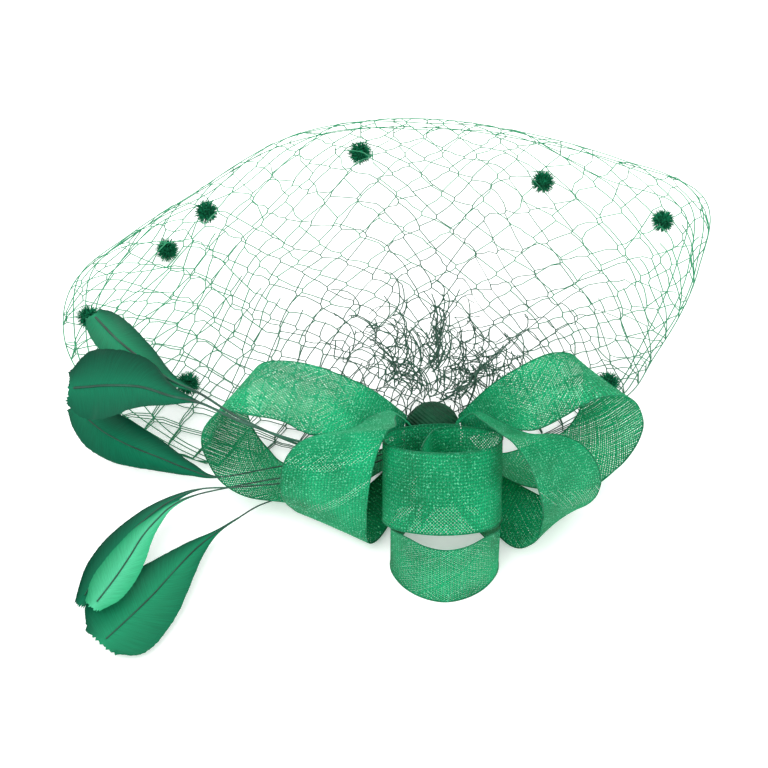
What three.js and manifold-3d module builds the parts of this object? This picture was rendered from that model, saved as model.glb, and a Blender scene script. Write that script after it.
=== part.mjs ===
import * as THREE from 'three';
import { mergeVertices } from 'three/addons/utils/BufferGeometryUtils.js';
import Module from 'manifold-3d';

// Driving sizes in millimetres. X runs right, Y away from the viewer, Z up from the table.
const ribbonWidth = 38;
const ribbonThickness = 1;
const clearance = 0.3;
const knotRadius = 11.5;
const knotShoulder = 25;
const clipLength = 48;
const clipWidth = 8;
const clipHeight = 5.4;
const rollRadius = 24;
const rollLean = 37;
const rollWidth = 33.5;
const veilReach = 170;
const veilHeight = 74;
const veilThickness = 1.2;
const strandWidth = 1.8;
const veilColumns = 13;
const veilRows = 8;
const dotRadius = 4.6;
const vaneThickness = 1;
const quillRadius = 0.9;

// Steps between two rows of a table.
const stepsPerRow = 3;
const featherSteps = 2;

const knotFoot = clipHeight + clearance;
const radians = Math.PI / 180;

const colours = {
  crin: 0x23a564,
  knot: 0x145a3c,
  net: 0x3f6b57,
  dot: 0x0a5a3c,
  featherDark: 0x1e6e50,
  featherMid: 0x2d8c64,
  featherLight: 0x5acd96,
  steel: 0xb8bcc0,
};

const group = new THREE.Group();

function add(name, geometry, colour, metalness = 0) {
  geometry.deleteAttribute('normal');
  geometry.deleteAttribute('uv');
  const merged = mergeVertices(geometry, 1e-5);
  merged.computeVertexNormals();
  const material = new THREE.MeshStandardMaterial({ color: colour, roughness: 0.6, metalness });
  material.name = name;
  const mesh = new THREE.Mesh(merged, material);
  mesh.name = name;
  group.add(mesh);
}

function solidFrom(points, triangles) {
  const geometry = new THREE.BufferGeometry();
  const flat = points.flatMap((point) => [point.x, point.y, point.z]);
  geometry.setAttribute('position', new THREE.Float32BufferAttribute(flat, 3));
  geometry.setIndex(triangles);
  return geometry;
}

// Smooth curve through the rows of a table, any number of columns, t from 0 to 1.
function alongRows(rows, t) {
  const place = Math.min(Math.max(t, 0), 1) * (rows.length - 1);
  const index = Math.min(Math.floor(place), rows.length - 2);
  const u = place - index;
  const before = rows[Math.max(index - 1, 0)];
  const start = rows[index];
  const end = rows[index + 1];
  const after = rows[Math.min(index + 2, rows.length - 1)];
  return start.map((value, column) => {
    const slopeIn = (end[column] - before[column]) / 2;
    const slopeOut = (after[column] - value) / 2;
    const u2 = u * u;
    const u3 = u2 * u;
    return (2 * u3 - 3 * u2 + 1) * value + (u3 - 2 * u2 + u) * slopeIn
      + (3 * u2 - 2 * u3) * end[column] + (u3 - u2) * slopeOut;
  });
}

// Radius of the knot at a height, out to where an end can sit beside it.
function besideKnot(level) {
  const above = Math.max(level - knotShoulder, 0);
  const radius = Math.sqrt(Math.max(knotRadius ** 2 - above ** 2, 1));
  return radius + clearance + 0.35 * ribbonThickness;
}

// One end of a ribbon, pinched against the knot: azimuth, height, width share, rise of the near edge.
function pinchedEnd([azimuth, level, spread, rise]) {
  const angle = azimuth * radians;
  const reach = besideKnot(level);
  const centre = new THREE.Vector3(Math.cos(angle) * reach, Math.sin(angle) * reach, level);
  const across = new THREE.Vector3(-Math.sin(angle), Math.cos(angle), 0);
  if (across.y > 0) across.negate();
  across.multiplyScalar(spread * ribbonWidth / 2);
  across.z = rise * ribbonWidth / 2;
  const far = centre.clone().sub(across);
  const near = centre.clone().add(across);
  return [far.x, far.y, far.z, near.x, near.y, near.z];
}

// A flat strip between two edge curves, with a real thickness.
function strip(rows, thickness, steps = stepsPerRow) {
  const count = (rows.length - 1) * steps + 1;
  const stations = [];
  for (let k = 0; k < count; k += 1) {
    const row = alongRows(rows, k / (count - 1));
    stations.push({
      far: new THREE.Vector3(row[0], row[1], row[2]),
      near: new THREE.Vector3(row[3], row[4], row[5]),
    });
  }
  const points = [];
  stations.forEach((station, k) => {
    const previous = stations[Math.max(k - 1, 0)];
    const next = stations[Math.min(k + 1, count - 1)];
    const across = station.near.clone().sub(station.far).normalize();
    const forward = next.far.clone().add(next.near).sub(previous.far).sub(previous.near);
    const normal = forward.cross(across).normalize().multiplyScalar(thickness / 2);
    points.push(station.far.clone().add(normal), station.near.clone().add(normal));
    points.push(station.near.clone().sub(normal), station.far.clone().sub(normal));
  });
  const triangles = [];
  for (let k = 0; k < count - 1; k += 1) {
    for (let corner = 0; corner < 4; corner += 1) {
      const a = k * 4 + corner;
      const b = k * 4 + (corner + 1) % 4;
      triangles.push(a, a + 4, b, b, a + 4, b + 4);
    }
  }
  const last = (count - 1) * 4;
  triangles.push(0, 1, 2, 0, 2, 3, last, last + 2, last + 1, last, last + 3, last + 2);
  return solidFrom(points, triangles);
}

// The bow's four loops. Each row is a section across the ribbon, in shares of its width:
// far edge x, y, z and near edge x, y, z. The ends are pinched against the knot.
const loops = {
  crin_loop_back_left: {
    start: [170, 24, 0.36, 0.06],
    rows: [
      [-0.66, 0.25, 1.02, -0.84, -0.42, 1.15],
      [-1.12, 0.36, 1.21, -1.29, -0.62, 1.33],
      [-1.44, 0.45, 1.24, -1.61, -0.52, 1.43],
      [-1.72, 0.50, 1.21, -1.93, -0.45, 1.44],
      [-1.90, 0.50, 1.13, -2.25, -0.39, 1.43],
      [-2.02, 0.41, 0.95, -2.44, -0.45, 1.24],
      [-2.05, 0.36, 0.68, -2.48, -0.49, 1.00],
      [-2.02, 0.32, 0.42, -2.42, -0.54, 0.75],
      [-1.94, 0.25, 0.24, -2.28, -0.64, 0.53],
      [-1.82, 0.14, 0.14, -2.03, -0.78, 0.47],
      [-1.63, -0.06, 0.12, -1.71, -0.83, 0.45],
      [-1.18, -0.23, 0.17, -1.20, -0.87, 0.46],
      [-0.74, -0.17, 0.31, -0.77, -0.62, 0.50],
    ],
    end: [190, 17, 0.32, 0.06],
  },
  crin_loop_back_right: {
    start: [10, 24, 0.36, 0.06],
    rows: [
      [0.62, 0.30, 1.02, 0.78, -0.38, 1.12],
      [0.95, 0.42, 1.21, 1.08, -0.54, 1.31],
      [1.22, 0.56, 1.24, 1.40, -0.41, 1.39],
      [1.41, 0.65, 1.18, 1.66, -0.27, 1.46],
      [1.55, 0.69, 1.08, 1.97, -0.16, 1.42],
      [1.65, 0.67, 0.89, 2.15, -0.11, 1.27],
      [1.68, 0.64, 0.66, 2.25, -0.09, 1.03],
      [1.67, 0.58, 0.42, 2.27, -0.13, 0.80],
      [1.61, 0.51, 0.24, 2.18, -0.23, 0.58],
      [1.44, 0.35, 0.14, 1.99, -0.41, 0.47],
      [1.09, 0.20, 0.12, 1.66, -0.54, 0.29],
      [0.81, 0.05, 0.17, 1.05, -0.61, 0.41],
      [0.55, -0.03, 0.31, 0.64, -0.46, 0.50],
    ],
    end: [-10, 17, 0.32, 0.06],
  },
  crin_loop_front_left: {
    start: [206, 32, 0.2, 0.06],
    rows: [
      [-0.46, -0.13, 1.12, -0.37, -0.25, 1.18],
      [-0.66, -0.36, 1.31, -0.42, -0.50, 1.45],
      [-0.87, -0.59, 1.39, -0.41, -0.81, 1.70],
      [-1.33, -0.77, 1.45, -0.50, -0.93, 1.75],
      [-1.54, -0.91, 1.34, -0.60, -1.04, 1.56],
      [-1.62, -1.01, 1.08, -0.67, -1.18, 1.33],
      [-1.62, -0.99, 0.74, -0.71, -1.26, 0.98],
      [-1.54, -0.87, 0.39, -0.72, -1.25, 0.56],
      [-1.36, -0.79, 0.16, -0.69, -1.23, 0.22],
      [-0.96, -0.62, 0.11, -0.52, -0.96, 0.10],
    ],
    end: [216, 10.5, 0.28, 0],
  },
  crin_loop_front_right: {
    start: [-18, 32, 0.2, 0.06],
    rows: [
      [0.48, -0.08, 1.05, 0.40, -0.18, 1.13],
      [0.70, -0.30, 1.16, 0.50, -0.48, 1.40],
      [1.00, -0.58, 1.29, 0.68, -0.90, 1.69],
      [1.33, -0.62, 1.32, 0.81, -1.14, 1.83],
      [1.61, -0.68, 1.18, 0.95, -1.26, 1.66],
      [1.78, -0.74, 0.84, 1.06, -1.26, 1.30],
      [1.77, -0.76, 0.47, 1.14, -1.33, 1.00],
      [1.62, -0.73, 0.21, 1.14, -1.35, 0.72],
      [1.42, -0.66, 0.09, 1.06, -1.38, 0.42],
      [1.10, -0.46, 0.12, 0.78, -1.10, 0.08],
    ],
    end: [-36, 10.5, 0.28, 0],
  },
};

for (const [name, { start, rows, end }] of Object.entries(loops)) {
  const scaled = rows.map((row) => row.map((share) => share * ribbonWidth));
  const sections = [pinchedEnd(start), ...scaled, pinchedEnd(end)];
  add(name, strip(sections, ribbonThickness), colours.crin);
}

// The centre roll. Each row is a point of its spiral seen along the roll's axis, in shares of the
// roll's radius: across, and towards the knot.
const rollSpiral = [
  [0.32, 0.95],
  [0.00, 1.00],
  [-0.42, 0.90],
  [-0.80, 0.60],
  [-1.00, 0.10],
  [-0.93, -0.42],
  [-0.62, -0.80],
  [-0.10, -1.00],
  [0.45, -0.90],
  [0.85, -0.55],
  [1.00, 0.00],
  [0.90, 0.45],
  [0.58, 0.74],
  [0.18, 0.82],
  [-0.12, 0.60],
  [-0.24, 0.15],
  [-0.32, -0.30],
  [-0.36, -0.62],
];
const lean = rollLean * radians;
const rollAxis = new THREE.Vector3(0, Math.sin(lean), Math.cos(lean));
const rollBack = new THREE.Vector3(0, Math.cos(lean), -Math.sin(lean));
const rollGap = rollRadius + ribbonThickness / 2 + clearance + knotRadius;
const rollMiddle = new THREE.Vector3(0, 0, knotShoulder)
  .addScaledVector(rollBack, -rollGap)
  .addScaledVector(rollAxis, -0.35 * rollWidth);
rollMiddle.x = 0.09 * ribbonWidth;
const rollRows = rollSpiral.map(([across, back]) => {
  const centre = rollMiddle.clone().addScaledVector(rollBack, back * rollRadius);
  centre.x += across * rollRadius;
  const low = centre.clone().addScaledVector(rollAxis, -rollWidth / 2);
  const high = centre.clone().addScaledVector(rollAxis, rollWidth / 2);
  return [high.x, high.y, high.z, low.x, low.y, low.z];
});
add('crin_roll', strip(rollRows, ribbonThickness), colours.crin);

// The lower loop stands on its edge. Each row is a point of its plan in shares of the ribbon width:
// x, y, height of the lower edge and height of the upper edge.
const lowerMiddle = 0.12;
const lowerArm = [
  [0.20, -0.53, 0.15, 0.37],
  [0.33, -0.77, 0.03, 0.20],
  [0.47, -0.98, 0.01, 0.34],
  [0.55, -1.20, 0, 0.54],
  [0.58, -1.36, 0, 0.68],
  [0.54, -1.51, 0, 0.80],
  [0.41, -1.68, 0, 0.92],
  [0.22, -1.80, 0, 0.92],
];
const lowerFoot = (spread, level, top) => {
  const y = -Math.sqrt(besideKnot(0) ** 2 - (spread * ribbonWidth) ** 2);
  return [spread, y / ribbonWidth, level, top];
};
const leftArm = lowerArm.map(([x, ...rest]) => [lowerMiddle - x, ...rest]);
leftArm[0][0] = -0.12;
leftArm[1][0] = -0.21;
leftArm[2][0] = -0.34;
const rightArm = lowerArm.map(([x, ...rest]) => [lowerMiddle + x, ...rest]);
rightArm[0][0] = 0.20;
rightArm[1][0] = 0.36;
rightArm[2][0] = 0.56;
rightArm.reverse();
const lowerRows = [
  lowerFoot(-0.065, 0.2, 0.44),
  ...leftArm,
  [lowerMiddle, -1.85, 0, 0.92],
  ...rightArm,
  lowerFoot(0.085, 0.2, 0.44),
].map(([x, y, low, high]) => [x, y, high, x, y, low].map((share) => share * ribbonWidth));
add('crin_loop_lower', strip(lowerRows, ribbonThickness), colours.crin);

// The knot: a wrapped post with a domed top.
const knotProfile = [new THREE.Vector2(0, knotFoot), new THREE.Vector2(knotRadius * 0.92, knotFoot)];
knotProfile.push(new THREE.Vector2(knotRadius, knotFoot + 1.2));
for (let k = 0; k <= 6; k += 1) {
  const angle = k * 15 * radians;
  const radius = k === 6 ? 0 : knotRadius * Math.cos(angle);
  knotProfile.push(new THREE.Vector2(radius, knotShoulder + knotRadius * Math.sin(angle)));
}
const knot = new THREE.LatheGeometry(knotProfile, 24);
knot.rotateX(Math.PI / 2);
add('centre_knot', knot, colours.knot);

// The hair clip: side profile in shares of its length and height, extruded across.
const clipProfile = [
  [-0.5, 0],
  [0.5, 0],
  [0.5, 0.24],
  [0.24, 0.56],
  [0.12, 1],
  [-0.12, 1],
  [-0.22, 0.66],
  [-0.5, 0.86],
];
const clipShape = new THREE.Shape(
  clipProfile.map(([along, up]) => new THREE.Vector2(along * clipLength, up * clipHeight)),
);
const clip = new THREE.ExtrudeGeometry(clipShape, { depth: clipWidth, bevelEnabled: false });
clip.rotateX(Math.PI / 2);
clip.translate(0, clipWidth / 2, 0);
add('hair_clip', clip, colours.steel, 0.8);

// The veil, a folded pouf of coarse net. Each row is one fold: azimuth in degrees, reach of the rim
// as a share of veilReach, then heights of rim, crest and gather as shares of veilHeight, and how
// far out the crest lies as a share of the reach.
const folds = [
  [4, 0.30, 0.022, 0.036, 0.036, 0.5],
  [10, 0.38, 0.024, 0.040, 0.040, 0.5],
  [17, 0.53, 0.05, 0.14, 0.18, 0.5],
  [26, 0.65, 0.08, 0.38, 0.33, 0.55],
  [37, 0.88, 0.20, 0.60, 0.33, 0.58],
  [46, 1.05, 0.32, 0.44, 0.33, 0.60],
  [58, 0.95, 0.54, 0.60, 0.33, 0.62],
  [73, 0.85, 0.74, 0.95, 0.33, 0.66],
  [89, 0.82, 0.84, 1.00, 0.33, 0.66],
  [104, 0.86, 0.78, 0.98, 0.33, 0.66],
  [117, 0.91, 0.66, 0.88, 0.33, 0.64],
  [129, 0.95, 0.46, 0.60, 0.33, 0.60],
  [142, 1.00, 0.30, 0.72, 0.33, 0.58],
  [152, 1.05, 0.20, 0.52, 0.33, 0.56],
  [161, 1.00, 0.11, 0.32, 0.30, 0.52],
  [170, 0.87, 0.05, 0.12, 0.16, 0.50],
  [180, 0.70, 0.024, 0.044, 0.040, 0.5],
  [189, 0.54, 0.022, 0.038, 0.036, 0.5],
];
const gatherHalf = 6;
const gatherShare = 0.22;
const gatherY = knotRadius + clearance + 0.45;
const layerFloor = veilThickness / 2 + 0.02;
const profileCache = new Map();

function veilProfile(across) {
  const key = across.toFixed(5);
  if (profileCache.has(key)) return profileCache.get(key);
  const [azimuth, reachShare, rim, crest, gather, crestShare] = alongRows(folds, across);
  const reach = reachShare * veilReach;
  const rimZ = Math.max(rim * veilHeight, layerFloor + 0.4);
  const crestZ = crest * veilHeight;
  const gatherZ = gather * veilHeight;
  const controls = [
    [gatherHalf, gatherZ],
    [crestShare * reach * 0.5, gatherZ + (crestZ - gatherZ) * 0.66],
    [crestShare * reach, crestZ],
    [0.88 * reach, rimZ + (crestZ - rimZ) * 0.5],
    [0.975 * reach, rimZ + (crestZ - rimZ) * 0.16],
    [reach, rimZ * 0.86],
    [0.965 * reach, Math.max(rimZ * 0.5, layerFloor)],
    [0.82 * reach, Math.max(rimZ * 0.14, layerFloor)],
    [0.5 * reach, layerFloor],
    [0.26 * reach, layerFloor],
    [gatherHalf, layerFloor],
  ];
  const samples = [];
  const steps = 80;
  let length = 0;
  for (let k = 0; k <= steps; k += 1) {
    const [r, z] = alongRows(controls, k / steps);
    if (k > 0) {
      const [lastR, lastZ] = samples[k - 1];
      length += Math.hypot(r - lastR, z - lastZ);
    }
    samples.push([r, Math.max(z, layerFloor), length]);
  }
  const result = { azimuth: azimuth * radians, reach, samples, length };
  profileCache.set(key, result);
  return result;
}

// A point of the veil: column 0 to veilColumns, row -1 to 0 on the upper gather, 0 to 1 on the net
// and 1 to 2 on the lower gather.
function veilPoint(column, row) {
  const across = column / veilColumns;
  const { azimuth, reach, samples, length } = veilProfile(across);
  const dense = gatherShare * reach;
  let distance = dense + row * (length - 2 * dense);
  if (row < 0) distance = dense * (1 + row);
  if (row > 1) distance = length - dense * (2 - row);
  distance = Math.min(Math.max(distance, 0), length);
  let index = 1;
  while (index < samples.length - 1 && samples[index][2] < distance) index += 1;
  const [r0, z0, d0] = samples[index - 1];
  const [r1, z1, d1] = samples[index];
  const u = d1 > d0 ? (distance - d0) / (d1 - d0) : 0;
  const r = r0 + (r1 - r0) * u - gatherHalf;
  const z = z0 + (z1 - z0) * u;
  const startX = gatherHalf * (1 - 2 * across);
  return new THREE.Vector3(startX + r * Math.cos(azimuth), gatherY + r * Math.sin(azimuth), z);
}

function veilNormal(column, row) {
  const step = 0.02;
  const left = veilPoint(Math.max(column - step * 4, 0), row);
  const right = veilPoint(Math.min(column + step * 4, veilColumns), row);
  const inner = veilPoint(column, Math.max(row - step, -1));
  const outer = veilPoint(column, Math.min(row + step, 2));
  return right.sub(left).cross(outer.sub(inner)).normalize();
}

// The veil as one solid: a plain sheet in column and row, cut by diamond gaps, then thickened.
function veilSolid(thickness, width) {
  const pitch = 1 / (veilRows + 1);
  const places = [];
  const byKey = new Map();
  const faces = [];
  const vertex = (column, row) => {
    const key = `${column.toFixed(4)},${row.toFixed(5)}`;
    if (!byKey.has(key)) {
      byKey.set(key, places.length);
      places.push([column, row]);
    }
    return byKey.get(key);
  };
  const face = (a, b, c) => faces.push([vertex(...a), vertex(...b), vertex(...c)]);
  const middle = (a, b) => [(a[0] + b[0]) / 2, (a[1] + b[1]) / 2];
  const cell = (corners) => {
    const outline = corners.flatMap((corner, k) => [corner, middle(corner, corners[(k + 1) % corners.length])]);
    const centre = [0, 1].map((axis) => corners.reduce((sum, c) => sum + c[axis], 0) / corners.length);
    const hub = veilPoint(...centre);
    let inner = Infinity;
    for (let k = 1; k < outline.length; k += 2) {
      const start = veilPoint(...outline[k - 1]);
      const end = veilPoint(...outline[(k + 1) % outline.length]);
      const line = end.clone().sub(start);
      const away = hub.clone().sub(start).cross(line).length() / line.length();
      inner = Math.min(inner, away);
    }
    const keep = Math.max(1 - width / 2 / inner, 0.2);
    const hole = outline.map((c) => c.map((value, axis) => centre[axis] + (value - centre[axis]) * keep));
    outline.forEach((corner, k) => {
      const next = (k + 1) % outline.length;
      face(corner, outline[next], hole[next]);
      face(corner, hole[next], hole[k]);
    });
  };
  const filled = (a, b, c) => {
    const ab = middle(a, b);
    const bc = middle(b, c);
    const ca = middle(c, a);
    face(a, ab, ca);
    face(ab, b, bc);
    face(ca, bc, c);
    face(ab, bc, ca);
  };
  for (let j = 0; j < veilRows; j += 1) {
    const low = j * pitch;
    const mid = low + pitch;
    const high = mid + pitch;
    if (j % 2 === 0) {
      for (let i = 0; i < veilColumns; i += 1) {
        cell([[i + 0.5, low], [i + 1, mid], [i + 0.5, high], [i, mid]]);
      }
    } else {
      for (let i = 1; i < veilColumns; i += 1) {
        cell([[i, low], [i + 0.5, mid], [i, high], [i - 0.5, mid]]);
      }
      cell([[0, low], [0.5, mid], [0, high]]);
      cell([[veilColumns, low], [veilColumns, high], [veilColumns - 0.5, mid]]);
    }
  }
  for (let i = 1; i < veilColumns; i += 1) filled([i - 0.5, 0], [i + 0.5, 0], [i, pitch]);
  filled([0, 0], [0.5, 0], [0, pitch]);
  filled([veilColumns - 0.5, 0], [veilColumns, 0], [veilColumns, pitch]);
  for (let i = 0; i < veilColumns; i += 1) filled([i + 1, 1], [i, 1], [i + 0.5, 1 - pitch]);
  const nearColumns = [0, 0.25];
  for (let i = 1; i < 2 * veilColumns; i += 1) nearColumns.push(i / 2);
  nearColumns.push(veilColumns - 0.25, veilColumns);
  const farColumns = [];
  for (let i = 0; i <= 2 * veilColumns; i += 1) farColumns.push(i / 2);
  const gatherRows = 2;
  const dense = (columns, first) => {
    for (let j = 0; j < gatherRows; j += 1) {
      const low = first + j / gatherRows;
      const high = first + (j + 1) / gatherRows;
      for (let i = 0; i < columns.length - 1; i += 1) {
        const a = columns[i];
        const b = columns[i + 1];
        face([a, low], [b, low], [b, high]);
        face([a, low], [b, high], [a, high]);
      }
    }
  };
  dense(nearColumns, -1);
  dense(farColumns, 1);
  const points = [];
  places.forEach(([column, row]) => {
    const point = veilPoint(column, row);
    const normal = veilNormal(column, row).multiplyScalar(thickness / 2);
    const pleat = row < 0 ? Math.sin(Math.PI * -row) * 1.2 * Math.cos(2 * Math.PI * column) : 0;
    point.addScaledVector(normal, (2 * pleat) / thickness * (point.z > 8 ? 1 : 0));
    points.push(point.clone().add(normal), point.clone().sub(normal));
  });
  const triangles = [];
  const edges = new Map();
  for (const corners of faces) {
    const [a, b, c] = corners;
    triangles.push(2 * a, 2 * b, 2 * c, 2 * a + 1, 2 * c + 1, 2 * b + 1);
    corners.forEach((from, k) => edges.set(`${from},${corners[(k + 1) % 3]}`, [from, corners[(k + 1) % 3]]));
  }
  for (const [from, to] of edges.values()) {
    if (edges.has(`${to},${from}`)) continue;
    triangles.push(2 * from, 2 * from + 1, 2 * to + 1, 2 * from, 2 * to + 1, 2 * to);
  }
  return solidFrom(points, triangles);
}

const veil = veilSolid(veilThickness, strandWidth);

const kernel = await Module();
kernel.setup();

function toKernel(geometry) {
  geometry.deleteAttribute('normal');
  geometry.deleteAttribute('uv');
  const merged = mergeVertices(geometry, 1e-5);
  return new kernel.Manifold(new kernel.Mesh({
    numProp: 3,
    vertProperties: new Float32Array(merged.attributes.position.array),
    triVerts: new Uint32Array(merged.index.array),
  }));
}

function fromKernel(solid) {
  const { vertProperties, triVerts } = solid.getMesh();
  const geometry = new THREE.BufferGeometry();
  geometry.setAttribute('position', new THREE.Float32BufferAttribute(Array.from(vertProperties), 3));
  geometry.setIndex(Array.from(triVerts));
  return geometry;
}

// Chenille dots on strands of the net, each grooved round them. Column and net row.
const dots = [
  ['chenille_dot_1', 7, 3],
  ['chenille_dot_2', 8.7, 3.6],
  ['chenille_dot_3', 8.95, 5.1],
  ['chenille_dot_4', 4.95, 2.9],
  ['chenille_dot_5', 3.8, 3.4],
  ['chenille_dot_6', 11.2, 2.6],
  ['chenille_dot_7', 1.75, 3.5],
  ['chenille_dot_8', 10.5, 4],
];
const grooveGap = 3.4 * clearance;
const groove = toKernel(veilSolid(veilThickness + grooveGap, strandWidth + grooveGap));
for (const [name, column, row] of dots) {
  const ball = new THREE.IcosahedronGeometry(dotRadius, 1);
  const centre = veilPoint(column, row / (veilRows + 1));
  centre.z = Math.max(centre.z, dotRadius);
  ball.translate(centre.x, centre.y, centre.z);
  add(name, fromKernel(toKernel(ball).subtract(groove)), colours.dot);
}
add('veil', veil, colours.net);

// Feathers: a quill that widens into a leaf-shaped vane. The foot is azimuth and height beside the
// knot; each row is a point of the spine in shares of the ribbon width, then the half width.
// Tilt turns the vane about its spine in degrees, curl lifts its edges as a share of the half width.
const feathers = {
  feather_upper_front: {
    foot: [210, 28],
    colour: 'featherDark',
    tilt: -28,
    curl: 0.15,
    rows: [
      [-0.62, -0.43, 1.06, 0],
      [-1.25, -0.71, 1.27, 0],
      [-1.96, -0.66, 1.54, 0],
      [-2.46, -0.34, 1.50, 0.01],
      [-2.82, -0.14, 1.39, 0.13],
      [-3.16, 0.11, 1.24, 0.33],
      [-3.53, 0.28, 1.06, 0.40],
      [-3.78, 0.35, 0.95, 0.34],
      [-3.97, 0.40, 0.87, 0.18],
    ],
  },
  feather_upper_back: {
    foot: [190, 28],
    colour: 'featherMid',
    tilt: -18,
    curl: 0.15,
    rows: [
      [-0.60, -0.39, 0.95, 0],
      [-1.25, -0.69, 1.17, 0],
      [-1.99, -0.58, 1.50, 0],
      [-2.48, -0.20, 1.49, 0.01],
      [-2.82, 0.10, 1.36, 0.07],
      [-3.14, 0.52, 1.18, 0.17],
      [-3.46, 0.96, 1.02, 0.22],
      [-3.67, 1.31, 0.89, 0.18],
      [-3.78, 1.50, 0.83, 0.10],
    ],
  },
  feather_middle: {
    foot: [200, 21.3],
    colour: 'featherDark',
    tilt: -22,
    curl: 0.15,
    rows: [
      [-1.05, -0.44, 0.63, 0],
      [-1.62, -0.52, 0.66, 0],
      [-2.29, -0.67, 0.66, 0.01],
      [-2.63, -0.47, 0.53, 0.08],
      [-2.98, -0.23, 0.44, 0.18],
      [-3.33, -0.01, 0.38, 0.25],
      [-3.62, 0.21, 0.34, 0.25],
      [-3.83, 0.43, 0.32, 0.19],
      [-3.98, 0.62, 0.30, 0.09],
    ],
  },
  feather_lower_outer: {
    foot: [214, 20.4],
    colour: 'featherDark',
    tilt: -14,
    curl: 0.15,
    rows: [
      [-1.05, -0.59, 0.55, 0],
      [-1.66, -0.70, 0.58, 0],
      [-2.12, -0.74, 0.57, 0],
      [-2.50, -0.74, 0.54, 0.01],
      [-2.76, -0.80, 0.47, 0.04],
      [-3.01, -0.94, 0.39, 0.09],
      [-3.24, -1.15, 0.32, 0.13],
      [-3.44, -1.40, 0.27, 0.15],
      [-3.60, -1.67, 0.22, 0.14],
      [-3.75, -2.00, 0.18, 0.06],
    ],
  },
  feather_lower_inner: {
    foot: [214, 23.8],
    colour: 'featherLight',
    tilt: -14,
    curl: 0.15,
    rows: [
      [-1.05, -0.59, 0.66, 0],
      [-1.65, -0.71, 0.69, 0],
      [-2.12, -0.82, 0.69, 0],
      [-2.55, -0.91, 0.65, 0.01],
      [-2.80, -1.01, 0.59, 0.03],
      [-2.96, -1.15, 0.53, 0.07],
      [-3.11, -1.33, 0.47, 0.13],
      [-3.23, -1.55, 0.42, 0.18],
      [-3.36, -1.78, 0.38, 0.20],
      [-3.48, -1.97, 0.35, 0.18],
      [-3.59, -2.14, 0.33, 0.09],
    ],
  },
  feather_lower_right: {
    foot: [192, 7.4],
    colour: 'featherMid',
    tilt: -8,
    curl: 0.12,
    rows: [
      [-0.58, -0.16, 0.165, 0],
      [-0.95, -0.32, 0.16, 0],
      [-1.40, -0.48, 0.165, 0],
      [-1.85, -0.66, 0.17, 0],
      [-2.10, -0.85, 0.18, 0.01],
      [-2.34, -1.06, 0.19, 0.03],
      [-2.56, -1.30, 0.20, 0.13],
      [-2.78, -1.60, 0.20, 0.26],
      [-2.99, -1.89, 0.18, 0.37],
      [-3.20, -2.14, 0.16, 0.43],
      [-3.38, -2.34, 0.14, 0.40],
      [-3.49, -2.46, 0.13, 0.22],
    ],
  },
};

function featherSolid({ foot, tilt, curl, rows }) {
  const [azimuth, level] = foot;
  const reach = besideKnot(level) + clearance / 2;
  const angle = azimuth * radians;
  const base = [Math.cos(angle) * reach, Math.sin(angle) * reach, level, 0];
  const scaled = [base, ...rows.map((row) => row.map((share) => share * ribbonWidth))];
  const count = (scaled.length - 1) * featherSteps + 1;
  const stations = [];
  for (let k = 0; k < count; k += 1) {
    const [x, y, z, half] = alongRows(scaled, k / (count - 1));
    stations.push({ spine: new THREE.Vector3(x, y, z), half: Math.max(half, quillRadius) });
  }
  const points = [];
  stations.forEach(({ spine, half }, k) => {
    const previous = stations[Math.max(k - 1, 0)].spine;
    const next = stations[Math.min(k + 1, count - 1)].spine;
    const forward = next.clone().sub(previous).normalize();
    const across = new THREE.Vector3(0, 0, 1).cross(forward).normalize();
    across.applyAxisAngle(forward, tilt * radians);
    const up = forward.clone().cross(across).normalize();
    const lift = half * curl * Math.min(half / (0.1 * ribbonWidth), 1);
    const ring = [
      [-1, lift + vaneThickness / 2],
      [0, quillRadius],
      [1, lift + vaneThickness / 2],
      [1, lift - vaneThickness / 2],
      [0, -quillRadius],
      [-1, lift - vaneThickness / 2],
    ];
    for (const [side, height] of ring) {
      points.push(spine.clone().addScaledVector(across, side * half).addScaledVector(up, height));
    }
  });
  const triangles = [];
  for (let k = 0; k < count - 1; k += 1) {
    for (let corner = 0; corner < 6; corner += 1) {
      const a = k * 6 + corner;
      const b = k * 6 + (corner + 1) % 6;
      triangles.push(a, a + 6, b, b, a + 6, b + 6);
    }
  }
  const last = (count - 1) * 6;
  triangles.push(0, 1, 5, 5, 1, 4, 1, 2, 4, 2, 3, 4);
  triangles.push(last, last + 5, last + 1, last + 5, last + 4, last + 1);
  triangles.push(last + 1, last + 4, last + 2, last + 2, last + 4, last + 3);
  return solidFrom(points, triangles);
}

for (const [name, feather] of Object.entries(feathers)) {
  add(name, featherSolid(feather), colours[feather.colour]);
}

export default group;
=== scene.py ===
# %% [markdown]
# # A fascinator of crin ribbon, veil and feathers
#
# This lesson dresses a small festive headpiece. A bow of four crin loops, a centre roll and a
# lower loop hide a hair clip. Behind them stands a folded pouf of net with chenille dots, and six
# stripped feathers sweep out to the left. Crin is a braid of nylon threads and net is knotted
# thread, so both are grown here as real threads by Geometry Nodes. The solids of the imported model
# give the frame, and every piece goes where its solid is.

import math
import random

import bpy
import numpy as np
from mathutils import Matrix, Vector


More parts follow.
